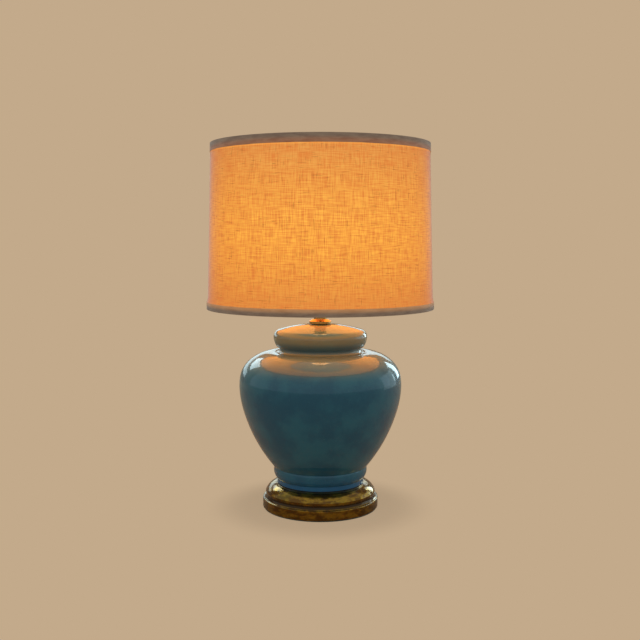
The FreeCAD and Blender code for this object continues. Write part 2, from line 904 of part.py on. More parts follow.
def each_arm(shape):
    """The same shape at every arm's place, the first one pointing to the back."""
    return [around(shape, 90 + k * 360 / spider_arms) for k in range(spider_arms)]


parts["shade_linen"] = shade_skin(0, linen_t)
parts["shade_liner"] = shade_skin(linen_t, skin_t)
parts["shade_bottom_ring"] = Part.makeTorus(hem_ring_r, ring_wire_r, point(0, hem_ring_z))
ring = Part.makeTorus(top_ring_r, ring_wire_r, point(0, top_ring_z))
plate = washer(spider_hole_r, spider_washer_r, seat_z, spider_washer_t)
parts["shade_spider"] = ring.fuse([plate] + each_arm(spider_arm())).removeSplitter()

notch_w = spider_wire_r + slip_gap
notch = block((top_ring_r - spider_shelf, top_ring_r - ring_wire_r), (-notch_w, notch_w),
              (shade_top_z - trim_turn_in, top_ring_z - ring_wire_r + notch_w))
tape_top = rim_tape(shade_top_z, -1, trim_top_h, linen_top_r, linen_radius(shade_top_z - trim_top_h),
                    top_ring_r - ring_wire_r - seat_gap)
parts["trim_top"] = tape_top.cut(each_arm(notch))
parts["trim_bottom"] = rim_tape(shade_bottom_z, 1, trim_bottom_h, linen_hem_r, linen_hem_r,
                                hem_ring_r - ring_wire_r - seat_gap)

# ---------------------------------------------------------------- finial

ball_foot_r = math.sqrt(finial_ball_r ** 2 - (finial_ball_r - finial_ball_seat) ** 2)
ball_foot_z = finial_z + finial_neck_h
ball_z = ball_foot_z + finial_ball_r - finial_ball_seat
button_z = ball_z + math.sqrt(finial_ball_r ** 2 - finial_button_r ** 2)
bore_r = stud_r + finial_bore_gap
bore_top = stud_top_z + finial_bore_spare
ball_low = (finial_ball_r - ball_foot_r, ball_z - ball_foot_z)
ball_high = (finial_ball_r - finial_button_r, button_z - ball_z)


def ball_rise(run):
    """The rise of a piece of the ball's outline, from its width and height."""
    return finial_ball_r - math.sqrt(finial_ball_r ** 2 - (run[0] ** 2 + run[1] ** 2) / 4)


parts["finial"] = turned(
    (bore_r, finial_z),
    (finial_base_r, finial_z),
    (finial_base_r, finial_z + finial_base_h),
    bow(-finial_collar_rise, finial_collar_r, finial_z + finial_collar_h),
    (finial_neck_r, finial_z + finial_collar_h),
    bow(-finial_neck_rise, ball_foot_r, ball_foot_z),
    bow(ball_rise(ball_low), finial_ball_r, ball_z),
    bow(ball_rise(ball_high), finial_button_r, button_z),
    bow(cap_rise(finial_button_r, finial_button_h), 0, button_z + finial_button_h),
    (0, bore_top),
    (bore_r, bore_top),
)

# ---------------------------------------------------------------- files

os.makedirs("parts", exist_ok=True)
for name, shape in parts.items():
    shape.exportStep("parts/" + name + ".step")
    print(name, len(shape.Solids), shape.isValid(), round(shape.Volume, 1))
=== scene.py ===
"""A ginger jar table lamp with a lit linen shade, dressed for a studio picture.

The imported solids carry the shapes.  This add-on gives each its finish, and makes what they leave plain: the
linen and its seam, the folded rim tapes, and the rolled threads of the bulb and its socket.
Lengths are metres.  The lamp stands on z = 0, its axis is Z and its front is -Y.
"""

import math

import bmesh
import bpy
from bpy.props import FloatProperty, FloatVectorProperty, PointerProperty
from mathutils import Matrix, Vector, noise


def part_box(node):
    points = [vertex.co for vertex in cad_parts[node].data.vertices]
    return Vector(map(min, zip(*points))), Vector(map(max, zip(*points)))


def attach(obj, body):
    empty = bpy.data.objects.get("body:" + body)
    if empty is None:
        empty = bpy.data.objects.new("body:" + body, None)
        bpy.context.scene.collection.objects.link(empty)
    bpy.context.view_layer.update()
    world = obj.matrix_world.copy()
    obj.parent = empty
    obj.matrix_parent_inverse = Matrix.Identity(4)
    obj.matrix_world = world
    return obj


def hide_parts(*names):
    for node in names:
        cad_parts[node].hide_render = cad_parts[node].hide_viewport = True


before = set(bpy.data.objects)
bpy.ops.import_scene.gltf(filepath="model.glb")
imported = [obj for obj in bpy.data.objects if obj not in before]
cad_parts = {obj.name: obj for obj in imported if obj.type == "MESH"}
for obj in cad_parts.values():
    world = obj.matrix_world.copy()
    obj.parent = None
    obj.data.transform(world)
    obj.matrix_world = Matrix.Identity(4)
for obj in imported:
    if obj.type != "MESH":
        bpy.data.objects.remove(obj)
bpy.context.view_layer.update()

bl_info = {
    "name": "Ginger Jar Table Lamp",
    "version": (1, 0, 0),
    "blender": (4, 5, 0),
    "location": "3D View > Sidebar > Lamp",
    "description": "Dresses the solids of a ginger jar lamp with cloth, glaze, brass and studio light",
    "category": "Add Mesh",
}

MM = 0.001
TURN = 2 * math.pi
SHARP_ANGLE = math.radians(32)
HOOP_STEPS = 240            # steps round a shade's hoop, about 5 mm apart
THREAD_STEPS = 48           # steps round one turn of a thread
E26_PITCH = 3.63 * MM       # seven turns to the inch, on the bulb's cap and in the socket
ON_LEVEL = 0.05 * MM        # points nearer than this to a height are on it
TOUCHING = 0.01 * MM        # points nearer than this are one
WAVE_PERIOD = TURN / 20     # a wave texture of scale 1 repeats after this many metres
PATCH_ROUGHNESS = 0.58      # how ragged the patches' edges are


def linear(hex_colour):
    """An sRGB hex colour as the linear colour that shaders take."""
    colour = []
    for start in (1, 3, 5):
        share = int(hex_colour[start:start + 2], 16) / 255
        colour.append(share / 12.92 if share <= 0.04045 else ((share + 0.055) / 1.055) ** 2.4)
    return (*colour, 1.0)


# ---------------------------------------------------------------- settings


class StudioSettings(bpy.types.PropertyGroup):
    """The paper sweep, the windows and the camera."""

    backdrop: FloatVectorProperty(
        name="Backdrop", description="Colour of the paper under and behind the lamp",
        subtype="COLOR", size=4, min=0, max=1, default=linear("#C3AA8B"))
    daylight: FloatVectorProperty(
        name="Daylight", description="Colour of the light from the windows",
        subtype="COLOR", size=4, min=0, max=1, default=linear("#C4E2EC"))
    window_glow: FloatProperty(
        name="Window Glow", description="Radiance of the brightest pane, where 1 is a white surface",
        min=0, default=5.7)
    room_level: FloatProperty(
        name="Room Level", description="Even light from the room all round",
        min=0, soft_max=2, default=0.6)
    lens: FloatProperty(
        name="Lens", description="Focal length of the camera", unit="CAMERA", min=20, default=51.64)
    distance: FloatProperty(
        name="Distance", description="Camera in front of the lamp's axis", unit="LENGTH",
        min=0.5, default=1.661)
    aside: FloatProperty(
        name="Aside", description="Camera to the right of the lamp's axis", unit="LENGTH",
        default=-0.6 * MM)
    eye_height: FloatProperty(
        name="Eye Height", description="Camera above the table", unit="LENGTH", min=0, default=0.4927)
    pitch: FloatProperty(
        name="Pitch", description="How far the camera looks down", subtype="ANGLE",
        default=math.radians(5.135))


class ShadeSettings(bpy.types.PropertyGroup):
    """The linen, its glow and the rim tapes."""

    linen: FloatVectorProperty(
        name="Linen", description="Colour of the linen's yarn by daylight",
        subtype="COLOR", size=4, min=0, max=1, default=linear("#9A8458"))
    yarn_width: FloatProperty(
        name="Yarn Width", description="Width of the yarns that show against the light",
        unit="LENGTH", min=0.0005, default=1.7 * MM)
    yarn_length: FloatProperty(
        name="Yarn Length", description="Length over which a yarn keeps its thickness",
        unit="LENGTH", min=0.002, default=30 * MM)
    glow_low: FloatVectorProperty(
        name="Glow at the Hem", description="Lamplight through the linen above the lower tape",
        subtype="COLOR", size=4, min=0, max=1, default=linear("#AE602A"))
    glow_middle: FloatVectorProperty(
        name="Glow beside the Bulb", description="Lamplight through the linen at the bulb's height",
        subtype="COLOR", size=4, min=0, max=1, default=linear("#FFBA38"))
    glow_high: FloatVectorProperty(
        name="Glow at the Top", description="Lamplight through the linen under the upper tape",
        subtype="COLOR", size=4, min=0, max=1, default=linear("#B0723E"))
    liner_glow: FloatProperty(
        name="Liner Glow", description="Radiance of the lit styrene inside the shade",
        min=0, default=1.95)
    tape: FloatVectorProperty(
        name="Tape", description="Colour of the cotton tape",
        subtype="COLOR", size=4, min=0, max=1, default=linear("#A6927C"))
    tape_shadow: FloatVectorProperty(
        name="Tape Shadow", description="Tape colour where it is soiled",
        subtype="COLOR", size=4, min=0, max=1, default=linear("#7E6C5E"))
    rib_pitch: FloatProperty(
        name="Rib Pitch", description="Spacing of the tape's woven ribs", unit="LENGTH",
        min=0.0003, default=1.6 * MM)


class GlazeSettings(bpy.types.PropertyGroup):
    """The jar's and the lid's glaze."""

    body: FloatVectorProperty(
        name="Glaze", description="Teal of the glaze at its usual thickness",
        subtype="COLOR", size=4, min=0, max=1, default=linear("#236C7F"))
    # Deeper blue of the glaze's clouds, and painted shade along the lid's hem.
    thick_glaze_and_hem_shade: FloatVectorProperty(
        name="Thick Glaze", description="Deeper blue where the glaze ran together",
        subtype="COLOR", size=4, min=0, max=1, default=linear("#155A72"))
    thin: FloatVectorProperty(
        name="Thin Glaze", description="Greyer teal of small flecks where the glaze is thin",
        subtype="COLOR", size=4, min=0, max=1, default=linear("#458189"))
    cloud: FloatProperty(
        name="Cloud Size", description="Size of the soft clouds in the glaze", unit="LENGTH",
        min=0.005, default=55 * MM)
    foot: FloatVectorProperty(
        name="Glaze at the Foot", description="Clear blue where the glaze pooled on the foot band",
        subtype="COLOR", size=4, min=0, max=1, default=linear("#0B6494"))
    # Painted light, not bare stoneware: the tan that tints the shoulder and the lid for the lit shade's warm
    # glow.
    painted_lamp_glow: FloatVectorProperty(
        name="Stoneware", description="Tan stoneware that shows through where the glaze drained off",
        subtype="COLOR", size=4, min=0, max=1, default=linear("#A09A62"))
    ripple: FloatProperty(
        name="Ripple", description="Spacing of the ripples left by the fired glaze", unit="LENGTH",
        min=0.002, default=22 * MM)


class MetalSettings(bpy.types.PropertyGroup):
    """The brass of base and neck."""

    brass: FloatVectorProperty(
        name="Brass", description="Brass where hands keep it clear",
        subtype="COLOR", size=4, min=0, max=1, default=linear("#A67E22"))
    tarnish: FloatVectorProperty(
        name="Tarnish", description="Brown of the aged lacquer",
        subtype="COLOR", size=4, min=0, max=1, default=linear("#6E4A12"))
    neck: FloatVectorProperty(
        name="Neck Brass", description="Brighter brass of the turned neck",
        subtype="COLOR", size=4, min=0, max=1, default=linear("#D8AA5A"))
    patch: FloatProperty(
        name="Patch Size", description="Size of the patches in the tarnish", unit="LENGTH",
        min=0.001, default=16 * MM)


class LampSettings(bpy.types.PropertyGroup):
    """All of the lamp's settings."""

    studio: PointerProperty(type=StudioSettings)
    shade: PointerProperty(type=ShadeSettings)
    glaze: PointerProperty(type=GlazeSettings)
    metal: PointerProperty(type=MetalSettings)


# ---------------------------------------------------------------- node helpers


def add_node(tree, kind, inputs, output=None, **settings):
    """Adds one node with its settings, sets or links its inputs, and gives back one of its outputs.

    Inputs go by name, or by their number among those in use.  The output is the first in use, or the one
    that is named.
    """
    node = tree.nodes.new(kind)
    for name, value in settings.items():
        setattr(node, name, value)
    in_use = [socket for socket in node.inputs if socket.enabled]
    sockets = {socket.name: socket for socket in in_use} | dict(enumerate(in_use))
    for name, value in inputs.items():
        if isinstance(value, bpy.types.NodeSocket):
            tree.links.new(value, sockets[name])
        else:
            sockets[name].default_value = value
    return next(socket for socket in node.outputs if socket.enabled and output in (None, socket.name))


def new_material(name, **values):
    """A material with its node tree, its Principled shader and the place on the object in metres.

    The values are those that are even all over.
    """
    material = bpy.data.materials.new(name)
    material.use_nodes = True
    tree = material.node_tree
    shader = tree.nodes["Principled BSDF"]
    for socket, value in values.items():
        shader.inputs[socket.replace("_", " ")].default_value = value
    return material, tree, shader, add_node(tree, "ShaderNodeTexCoord", {}, "Object")


def connect(tree, shader, **sources):
    """Links what varies over the surface into the shader."""
    for socket, source in sources.items():
        tree.links.new(source, shader.inputs[socket.replace("_", " ")])


def patches(tree, place, size, low, high, least=0.0, most=1.0, detail=4.0):
    """Soft patches of a real size on each axis: a share between least and most.

    Low and high are the levels of the noise between which a patch fades in.
    """
    stretched = add_node(tree, "ShaderNodeMapping", {
        "Vector": place, "Scale": [1 / length for length in size]})
    level = add_node(tree, "ShaderNodeTexNoise", {
        "Vector": stretched, "Scale": 1.0, "Detail": detail, "Roughness": PATCH_ROUGHNESS})
    return add_node(tree, "ShaderNodeMapRange", {
        "Value": level, "From Min": low, "From Max": high, "To Min": least, "To Max": most},
        interpolation_type="SMOOTHSTEP")


def painted(tree, ground, *layers):
    """A ground colour with layers over it, each a share and a colour."""
    for share, colour in layers:
        ground = add_node(tree, "ShaderNodeMix", {0: share, 1: ground, 2: colour}, data_type="RGBA")
    return ground


def belt(tree, height, low, high, fade, most=1.0):
    """A share that holds between two heights and fades out beyond both."""
    above = add_node(tree, "ShaderNodeMapRange", {
        "Value": height, "From Min": low - fade, "From Max": low})
    below = add_node(tree, "ShaderNodeMapRange", {
        "Value": height, "From Min": high + fade, "From Max": high, "To Max": most})
    return add_node(tree, "ShaderNodeMath", {0: above, 1: below}, operation="MULTIPLY")


# ---------------------------------------------------------------- cloth finishes


def yarns(tree, cloth, width, length, low, high):
    """Thick places in the yarns, both ways: 0 in thin yarn, 1 where an upright and a level one cross."""
    upright = patches(tree, cloth, (width, length, 1), low, high, most=0.5, detail=1.0)
    level = patches(tree, cloth, (length, width, 1), low, high, most=0.5, detail=1.0)
    return add_node(tree, "ShaderNodeMath", {0: upright, 1: level}, operation="ADD")


def slubbed_linen(shade):
    """Natural linen bonded to styrene and lit from behind.

    Thick yarns let less light through, so they show as fine dark threads both ways, with a short darker
    slub here and there.  The glow is strongest beside the bulb, and browner towards both rims, with a thin
    bright line where the upper tape's edge stands off the linen.  The tinted coat reddens the light that
    leaves at a slant, through more yarn, and the sheen is the linen's fluff against the room.  Real yarns
    are 0.5 mm apart, too fine for the picture, so these are drawn more than three times as coarse.
    """
    material, tree, shader, place = new_material(
        "Slubbed linen laminate", Roughness=0.9, Specular_IOR_Level=0.2, Emission_Strength=1.3,
        Sheen_Weight=1.0, Sheen_Roughness=0.3, Sheen_Tint=linear("#E8ECF4"),
        Coat_Weight=1.0, Coat_Roughness=0.8, Coat_IOR=1.02, Coat_Tint=linear("#F8F1EC"))
    bulb_share = 0.45           # the bulb's height as a share of the linen's
    slub_length = 0.8           # as a share of a yarn's even length
    leak_fades, leak_full = 3.0 * MM, 1.0 * MM      # below the upper tape's edge
    cloth = add_node(tree, "ShaderNodeUVMap", {}, uv_map="Cloth")
    weave = yarns(tree, cloth, shade.yarn_width, shade.yarn_length, 0.34, 0.68)
    slubs = yarns(tree, cloth, shade.yarn_width, shade.yarn_length * slub_length, 0.63, 0.73)
    low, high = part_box("shade_linen")
    height = add_node(tree, "ShaderNodeSeparateXYZ", {"Vector": place}, "Z")
    ramp = tree.nodes.new("ShaderNodeValToRGB")
    ramp.color_ramp.interpolation = "B_SPLINE"
    ramp.color_ramp.elements[0].color = shade.glow_low
    ramp.color_ramp.elements[1].color = shade.glow_high
    ramp.color_ramp.elements.new(bulb_share).color = shade.glow_middle
    level = add_node(tree, "ShaderNodeMapRange", {
        "Value": height, "From Min": low.z, "From Max": high.z})
    tree.links.new(level, ramp.inputs["Fac"])
    tape_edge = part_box("trim_top")[0].z
    leak = add_node(tree, "ShaderNodeMapRange", {
        "Value": height, "From Min": tape_edge - leak_fades, "From Max": tape_edge - leak_full,
        "To Max": 0.3})
    glow = painted(tree, ramp.outputs["Color"], (weave, linear("#C46A20")),
                   (slubs, linear("#8A461A")), (leak, linear("#FFB24A")))
    yarn = painted(tree, shade.linen, (weave, linear("#806A50")), (slubs, linear("#5E4A33")))
    relief = add_node(tree, "ShaderNodeBump", {"Height": weave, "Distance": 0.35 * MM, "Strength": 0.6})
    connect(tree, shader, Base_Color=yarn, Emission_Color=glow, Normal=relief)
    return material


def woven_tape(shade, glow):
    """Cotton tape: ribs with painted shade between, soiled patches, painted lamplight dim at the fold."""
    material, tree, shader, _ = new_material(
        "Cotton rim tape", Roughness=0.85, Specular_IOR_Level=0.25, Emission_Strength=1.0,
        Sheen_Weight=0.35, Sheen_Roughness=0.4)
    fold_dark, fold_ends = 4 * MM, 12 * MM          # in from the rim
    rib_depth = 0.35            # how much of the colour between the ribs is shadow
    cloth = add_node(tree, "ShaderNodeUVMap", {}, uv_map="Cloth")
    ribs = add_node(tree, "ShaderNodeTexWave", {
        "Vector": cloth, "Scale": WAVE_PERIOD / shade.rib_pitch, "Distortion": 0.6, "Detail": 1.0}, "Fac")
    soiled = patches(tree, cloth, (26 * MM, 6 * MM, 1), 0.3, 0.75)
    across = add_node(tree, "ShaderNodeSeparateXYZ", {"Vector": cloth}, "Y")
    folded = add_node(tree, "ShaderNodeMapRange", {
        "Value": across, "From Min": fold_ends, "From Max": fold_dark}, interpolation_type="SMOOTHSTEP")
    shadow = add_node(tree, "ShaderNodeMath", {0: ribs, 1: rib_depth}, operation="MULTIPLY")
    # Painted shade between the ribs, on the face and in the glow.
    face = painted(tree, shade.tape, (soiled, shade.tape_shadow), (shadow, linear("#4E453C")))
    # Painted lamplight through the tape: dim and brown over the fold at the rim.
    through = painted(tree, glow, (shadow, linear("#5A2E10")), (folded, linear("#443429")))
    relief = add_node(tree, "ShaderNodeBump", {"Height": ribs, "Distance": 0.2 * MM, "Strength": 0.6})
    connect(tree, shader, Base_Color=face, Emission_Color=through, Normal=relief)
    return material


def lit_styrene(shade):
    """Styrene sheet with a painted glow of lamplight: warm, and palest at the bulb's height."""
    # The tan is darker than white styrene, to tone down the light that bounces round inside the shade.
    material, tree, shader, place = new_material(
        "Styrene liner", Roughness=0.55, Base_Color=linear("#B89468"),
        Emission_Strength=shade.liner_glow)
    amber = linear("#C26A20")
    past_hem, past_top = 0.1, 0.05      # the glow would reach amber this far beyond the sheet
    low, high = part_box("shade_liner")
    bulb_low, bulb_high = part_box("bulb_glass")
    height = add_node(tree, "ShaderNodeSeparateXYZ", {"Vector": place}, "Z")
    below = add_node(tree, "ShaderNodeMapRange", {
        "Value": height, "From Min": bulb_low.z, "From Max": low.z - past_hem},
        interpolation_type="SMOOTHSTEP")
    above = add_node(tree, "ShaderNodeMapRange", {
        "Value": height, "From Min": bulb_high.z, "From Max": high.z + past_top},
        interpolation_type="SMOOTHSTEP")
    uneven_glow = patches(tree, place, (90 * MM,) * 3, 0.3, 0.7, most=0.15)
    # Painted light: the bulb's glow on the liner, amber towards both rims and in soft uneven patches.
    glow = painted(tree, linear("#FFA450"), (below, amber), (above, amber), (uneven_glow, linear("#D98A3A")))
    connect(tree, shader, Emission_Color=glow)
    return material


def pressed_felt():
    """Dark green wool felt: matt and fuzzy, with pale lint."""
    material, tree, shader, place = new_material(
        "Wool felt", Roughness=1.0, Specular_IOR_Level=0.1, Sheen_Weight=0.4, Sheen_Roughness=0.7)
    fuzz = patches(tree, place, (0.7 * MM,) * 3, 0.2, 0.8)
    lint = patches(tree, place, (9 * MM, 2 * MM, 2 * MM), 0.62, 0.75, most=0.4)
    colour = painted(tree, linear("#1E2B20"), (fuzz, linear("#35463A")), (lint, linear("#6F7A68")))
    relief = add_node(tree, "ShaderNodeBump", {"Height": fuzz, "Distance": 0.4 * MM})
    connect(tree, shader, Base_Color=colour, Normal=relief)
    return material


# ---------------------------------------------------------------- ceramic, metal and other finishes


def teal_glaze(glaze):
    """Poured stoneware glaze: deep, cloudy teal under a glassy coat.

    It is bluer where it pooled on the foot band.  The shoulder and all above it are browner: painted warm
    light of the lit shade.  Along the lid's hem, a deeper blue is painted shade, and the crown of the lid is
    teal again, with less of that painted light.  The coat's faint ripples bend the windows' reflections, as
    on a fired surface, and the softer gloss under it gives them their halo.
    """
    material, tree, shader, place = new_material(
        "Teal stoneware glaze", Roughness=0.45, Specular_IOR_Level=0.25,
        Coat_Weight=1.0, Coat_Roughness=0.02, Coat_IOR=1.43)
    foot_band = 26 * MM                                 # its height
    painted_lamplight_low, painted_lamplight_high = 70 * MM, 30 * MM        # below the collar's rim
    hem_shade_band = 4 * MM                                # above the lid's hem
    crown_low, crown_high = 26 * MM, 60 * MM            # above the lid's hem
    fade = 8 * MM
    cloud = patches(tree, place, (glaze.cloud,) * 3, 0.35, 0.65)
    fleck = patches(tree, place, (2.2 * MM, 2.2 * MM, 3.5 * MM), 0.58, 0.75, most=0.35)
    foot, collar = (corner.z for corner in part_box("jar"))
    height = add_node(tree, "ShaderNodeSeparateXYZ", {"Vector": place}, "Z")
    pooled = add_node(tree, "ShaderNodeMapRange", {
        "Value": height, "From Min": foot + foot_band, "From Max": foot, "To Max": 0.7},
        interpolation_type="SMOOTHSTEP")
    # Painted lamplight: tan over the shoulder and above, for the warm light of the lit shade.
    painted_lamplight = add_node(tree, "ShaderNodeMapRange", {
        "Value": height, "From Min": collar - painted_lamplight_low, "From Max": collar - painted_lamplight_high,
        "To Max": 0.45}, interpolation_type="SMOOTHSTEP")
    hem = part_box("lid")[0].z
    # Painted shade: deeper blue along the lid's hem, where the painted lamplight gives way.
    painted_hem_shade = belt(tree, height, hem, hem + hem_shade_band, fade, 0.7)
    # The lid's crown goes back to teal, with less of the painted lamplight.
    crown = belt(tree, height, hem + crown_low, hem + crown_high, fade, 0.6)
    colour = painted(tree, glaze.body, (cloud, glaze.thick_glaze_and_hem_shade), (fleck, glaze.thin), (pooled, glaze.foot),
                     (painted_lamplight, glaze.painted_lamp_glow), (painted_hem_shade, glaze.thick_glaze_and_hem_shade), (crown, glaze.body))
    ripple = patches(tree, place, (glaze.ripple, glaze.ripple, glaze.ripple * 1.6), 0.2, 0.8)
    relief = add_node(tree, "ShaderNodeBump", {"Height": ripple, "Distance": 0.35 * MM, "Strength": 0.3})
    connect(tree, shader, Base_Color=colour, Normal=relief, Coat_Normal=relief)
    return material


def aged_brass(metal):
    """Spun brass under old lacquer: dark amber, mottled and spotted, and browner in the cove.

    Faint spinning marks and shallow dents bend the reflections.
    """
    material, tree, shader, place = new_material(
        "Aged lacquered brass", Metallic=1.0, Coat_Weight=0.4, Coat_Roughness=0.06)
    cove_low, cove_high, cove_fade = 20 * MM, 24 * MM, 3 * MM      # above the base's foot
    size = metal.patch
    mottle = patches(tree, place, (size, size, size * 0.4), 0.4, 0.6)
    spots = patches(tree, place, (size * 0.25,) * 3, 0.56, 0.72, most=0.5)
    olive = patches(tree, place, (size * 3,) * 3, 0.5, 0.75, most=0.4)
    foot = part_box("base_shell")[0].z
    height = add_node(tree, "ShaderNodeSeparateXYZ", {"Vector": place}, "Z")
    cove = belt(tree, height, foot + cove_low, foot + cove_high, cove_fade)
    colour = painted(tree, metal.brass, (mottle, metal.tarnish), (spots, linear("#2E1F0A")),
                     (olive, linear("#7E7826")), (cove, linear("#3A270E")))
    roughness = patches(tree, place, (size * 0.5,) * 3, 0.3, 0.7, 0.08, 0.2)
    marks = patches(tree, place, (60 * MM, 60 * MM, 1.2 * MM), 0.2, 0.8)
    dents = patches(tree, place, (18 * MM, 18 * MM, 9 * MM), 0.2, 0.8, detail=1.0)
    fine = add_node(tree, "ShaderNodeBump", {"Height": marks, "Distance": 0.1 * MM, "Strength": 0.15})
    relief = add_node(tree, "ShaderNodeBump", {
        "Height": dents, "Distance": 0.5 * MM, "Strength": 0.9, "Normal": fine})
    connect(tree, shader, Base_Color=colour, Roughness=roughness, Normal=relief)
    return material


def turned_metal(name, colour, dark, roughness, groove=0.8 * MM, **values):
    """A turned or drawn metal: fine level tool marks, and dull spots where fingers have been."""
    material, tree, shader, place = new_material(name, Metallic=1.0, **values)
    spots = patches(tree, place, (4 * MM,) * 3, 0.5, 0.75, most=0.6)
    wear = patches(tree, place, (6 * MM,) * 3, 0.3, 0.7, roughness * 0.75, roughness * 1.3)
    marks = patches(tree, place, (40 * MM, 40 * MM, groove), 0.2, 0.8)
    relief = add_node(tree, "ShaderNodeBump", {"Height": marks, "Distance": 0.06 * MM, "Strength": 0.3})
    connect(tree, shader, Base_Color=painted(tree, colour, (spots, dark)), Roughness=wear, Normal=relief)
    return material


def moulded(name, colour, fleck_colour, roughness, grain=1.5 * MM, **values):
    """A moulded or pressed material: an even colour with small flecks and a slight skin texture."""
    material, tree, shader, place = new_material(name, **values)
    flecks = patches(tree, place, (grain,) * 3, 0.5, 0.8)
    gloss = patches(tree, place, (grain * 3,) * 3, 0.3, 0.7, roughness * 0.85, roughness * 1.15)
    relief = add_node(tree, "ShaderNodeBump", {"Height": flecks, "Distance": 0.05 * MM, "Strength": 0.4})
    connect(tree, shader, Base_Color=painted(tree, colour, (flecks, fleck_colour)), Roughness=gloss,
            Normal=relief)
    return material


def threaded_pipe():
    """Zinc-plated steel pipe with a fine thread: 27 turns to the inch, drawn in the shading."""
    material, tree, shader, place = new_material("Zinc-plated threaded pipe", Metallic=1.0)
    pitch = 25.4 * MM / 27
    thread = add_node(tree, "ShaderNodeTexWave", {"Vector": place, "Scale": WAVE_PERIOD / pitch}, "Fac",
                      bands_direction="Z")
    bloom = patches(tree, place, (3 * MM,) * 3, 0.2, 0.8)
    gloss = patches(tree, place, (5 * MM,) * 3, 0.3, 0.7, 0.3, 0.5)
    relief = add_node(tree, "ShaderNodeBump", {"Height": thread, "Distance": 0.4 * MM, "Strength": 0.8})
    connect(tree, shader, Base_Color=painted(tree, linear("#8C9096"), (bloom, linear("#B9B7AE"))),
            Roughness=gloss, Normal=relief)
    return material


def frosted_glass():
    """Soda glass frosted inside and lit: an even warm white, weaker towards the neck."""
    material, tree, shader, place = new_material(
        "Frosted bulb glass", Roughness=0.3, Base_Color=linear("#F4EFE6"), Emission_Strength=9.0,
        Coat_Weight=0.5, Coat_Roughness=0.05)
    widest = 30 * MM            # below the top, and from there up the glow is full
    low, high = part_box("bulb_glass")
    height = add_node(tree, "ShaderNodeSeparateXYZ", {"Vector": place}, "Z")
    lit = add_node(tree, "ShaderNodeMapRange", {
        "Value": height, "From Min": low.z, "From Max": high.z - widest})
    frost = patches(tree, place, (0.8 * MM,) * 3, 0.2, 0.8)
    relief = add_node(tree, "ShaderNodeBump", {"Height": frost, "Distance": 0.03 * MM, "Strength": 0.5})
    connect(tree, shader, Emission_Color=painted(tree, linear("#8A4A18"), (lit, linear("#FFCB8E"))),
            Normal=relief)
    return material


def clear_glass():
    """Lead glass of the bulb's stem: clear, with slight seeds."""
    material, tree, shader, place = new_material(
        "Lead glass", Roughness=0.02, IOR=1.56, Transmission_Weight=1.0)
    seeds = patches(tree, place, (3 * MM,) * 3, 0.3, 0.7)
    connect(tree, shader, Base_Color=painted(tree, linear("#F2F6F4"), (seeds, linear("#DDE8E2"))))
    return material


def hot_tungsten():
    """A drawn tungsten coil at white heat."""
    material, tree, shader, place = new_material(
        "Tungsten wire", Metallic=1.0, Roughness=0.4, Base_Color=linear("#6E6A66"),
        Emission_Strength=6.0)
    pitch = 0.5 * MM
    coil = add_node(tree, "ShaderNodeTexWave", {"Vector": place, "Scale": WAVE_PERIOD / pitch}, "Fac")
    connect(tree, shader, Emission_Color=painted(tree, linear("#FFB050"), (coil, linear("#FFF0C8"))))
    return material


# ---------------------------------------------------------------- mesh helpers


def dress(material, *nodes):
    """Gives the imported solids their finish."""
    for name in nodes:
        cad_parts[name].material_slots[0].material = material


def radius_at(node, height):
    """The outer radius of a round solid at one of its profile's heights."""
    points = [v.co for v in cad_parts[node].data.vertices if abs(v.co.z - height) < ON_LEVEL]
    return max(point.xy.length for point in points)


def turn(bm, outline, steps, angle=TURN, start=0.0):
    """Spins a chain of (radius, height) points round the lamp's axis, with its faces pointing out."""
    verts = [bm.verts.new((radius * math.cos(start), radius * math.sin(start), height))
             for radius, height in outline]
    edges = [bm.edges.new(pair) for pair in zip(verts, verts[1:])]
    bmesh.ops.spin(bm, geom=verts + edges, cent=(0, 0, 0), axis=(0, 0, 1), angle=angle, steps=steps,
                   use_merge=angle == TURN)
    bmesh.ops.recalc_face_normals(bm, faces=bm.faces)
    bm.normal_update()
    widest = max(bm.faces, key=lambda face: face.calc_center_median().xy.length)
    if widest.normal.xy.dot(widest.calc_center_median().xy) < 0:
        bmesh.ops.reverse_faces(bm, faces=bm.faces)


def thicken(bm, wall):
    """Gives a sheet its wall on the inside, and points all faces out again."""
    bmesh.ops.solidify(bm, geom=bm.faces, thickness=wall)
    bmesh.ops.recalc_face_normals(bm, faces=bm.faces)


def lay_cloth(bm, radius, rim=None):
    """UVs in metres: round the hoop at one radius, and up the wall or in over the rim."""
    layer = bm.loops.layers.uv.new("Cloth")
    for face in bm.faces:
        middle = face.calc_center_median()
        facing = math.atan2(middle.y, middle.x)
        for loop in face.loops:
            point = loop.vert.co
            swing = math.remainder(math.atan2(point.y, point.x) - facing, TURN)
            across = point.z if rim is None else abs(rim - point.z) - abs(radius - point.xy.length)
            loop[layer].uv = ((facing + swing) * radius, across)


def finish_piece(name, bm, material, body, slot, *replaced):
    """Makes the piece an object that rides on its body and stands for the plain solids."""
    mesh = bpy.data.meshes.new(name)
    bm.to_mesh(mesh)
    bm.free()
    mesh.materials.append(material)
    mesh.shade_smooth()
    mesh.set_sharp_from_angle(angle=SHARP_ANGLE)
    piece = bpy.data.objects.new(name, mesh)
    bpy.context.scene.collection.objects.link(piece)
    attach(piece, body)
    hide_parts(*replaced)
    return piece


